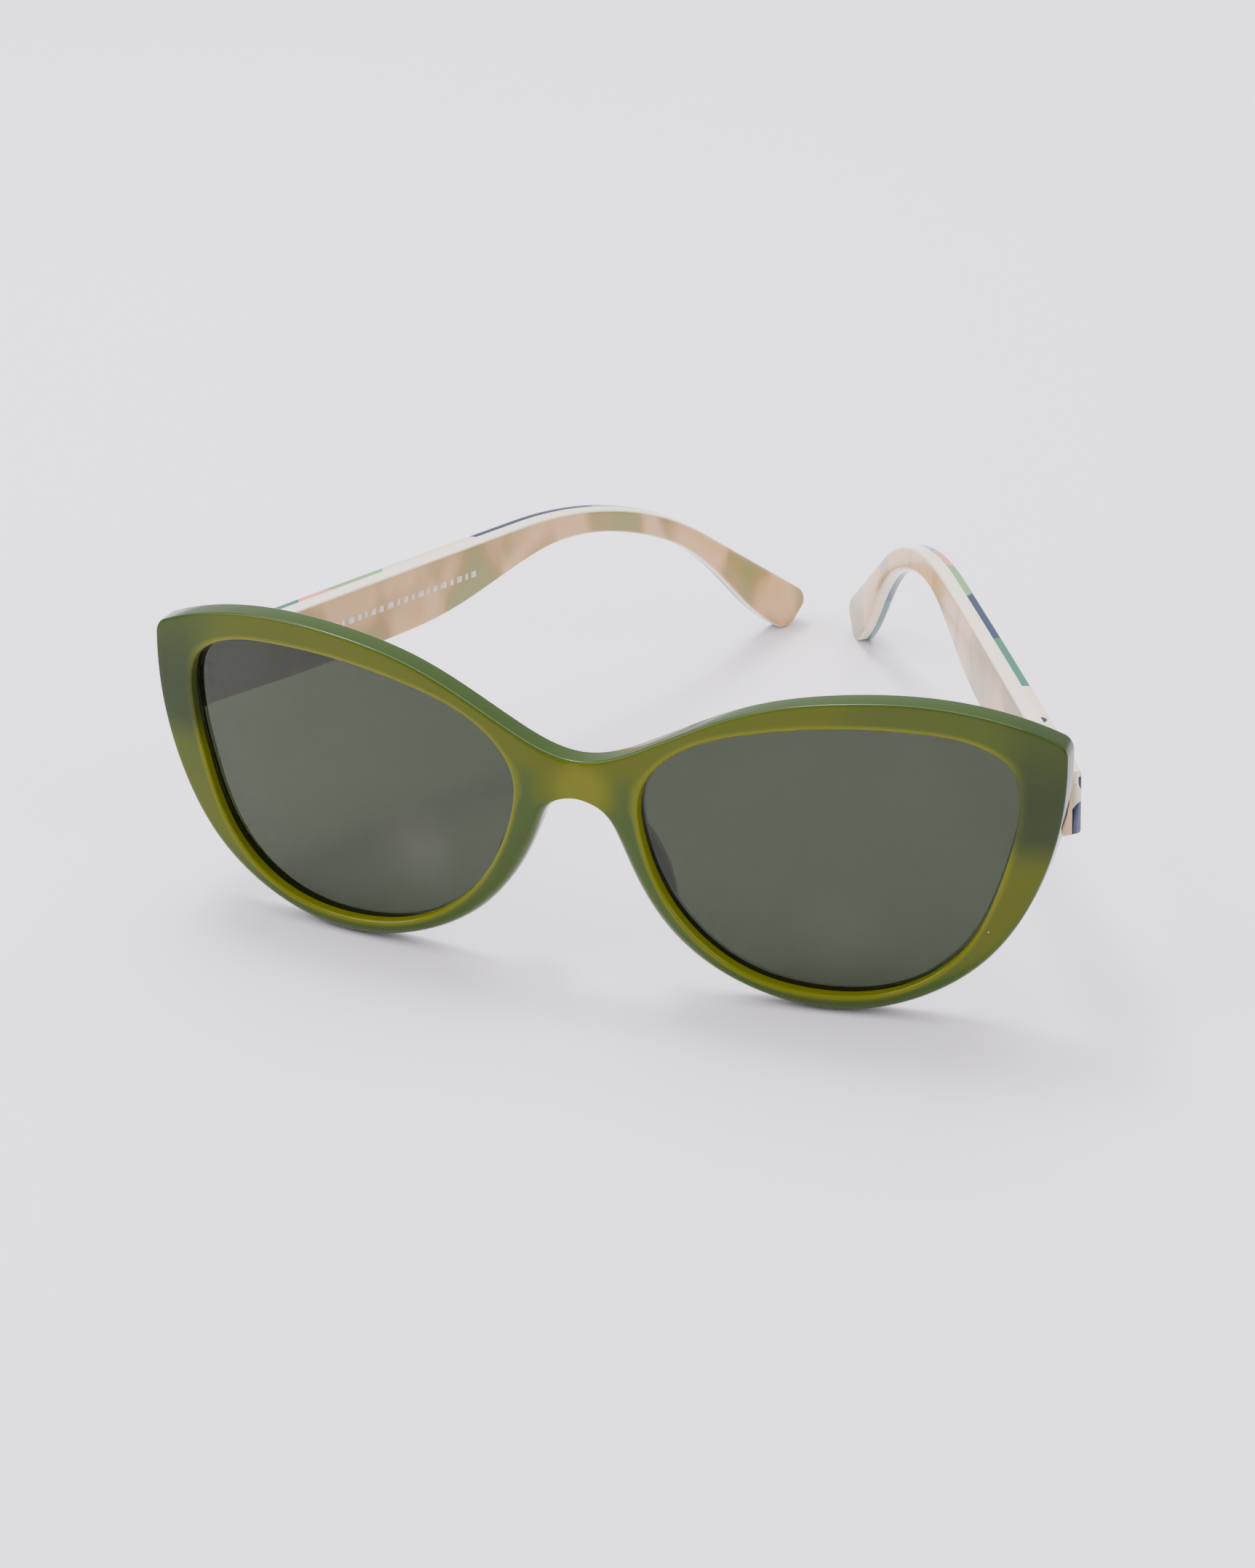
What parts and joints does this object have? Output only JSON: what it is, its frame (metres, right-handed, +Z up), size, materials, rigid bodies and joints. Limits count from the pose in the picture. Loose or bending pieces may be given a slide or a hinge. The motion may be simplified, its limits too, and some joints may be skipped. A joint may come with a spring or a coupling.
{
  "type": "cat eye sunglasses",
  "caption": "Cat eye sunglasses with a thick upswept acetate front, smoke lenses and laminated folding temples on barrel hinges.",
  "frame": {"origin": "middle of the underside of the bridge, where it sits over the nose", "axes": "+X along the front to the viewer's right, +Y back towards the ears, +Z up from the table"},
  "size_m": [0.146, 0.1326, 0.0506],
  "materials": {
    "green_acetate": "polished milky green acetate",
    "pad_acetate": "polished milky green acetate",
    "smoke_lens": "smoke grey sun lens",
    "hinge_steel": "plated hinge leaf",
    "screw_steel": "stainless screw",
    "milky_acetate": "polished clear milky acetate",
    "patterned_acetate": "polished patterned acetate lamina"
  },
  "bodies": {
    "front": {"front_frame": "green_acetate", "lens_left": "smoke_lens", "lens_right": "smoke_lens", "nose_pad_left": "pad_acetate", "nose_pad_right": "pad_acetate", "front_hinge_left": "hinge_steel", "front_hinge_right": "hinge_steel", "hinge_screw_left": "screw_steel", "hinge_screw_right": "screw_steel"},
    "temple_left": {"temple_hinge_left": "hinge_steel", "temple_core_left": "milky_acetate", "temple_pattern_left": "patterned_acetate"},
    "temple_right": {"temple_hinge_right": "hinge_steel", "temple_core_right": "milky_acetate", "temple_pattern_right": "patterned_acetate"}
  },
  "joints": [
    {"name": "temple_left_hinge", "type": "hinge", "parent": "front", "child": "temple_left", "pos_m": [-0.0676, 0.01191, 0.0033], "axis": [0, 0, -1], "range_deg": [-28, 58]},
    {"name": "temple_right_hinge", "type": "hinge", "parent": "front", "child": "temple_right", "pos_m": [0.0676, 0.01191, 0.0033], "axis": [0, 0, 1], "range_deg": [-29, 61]}
  ]
}
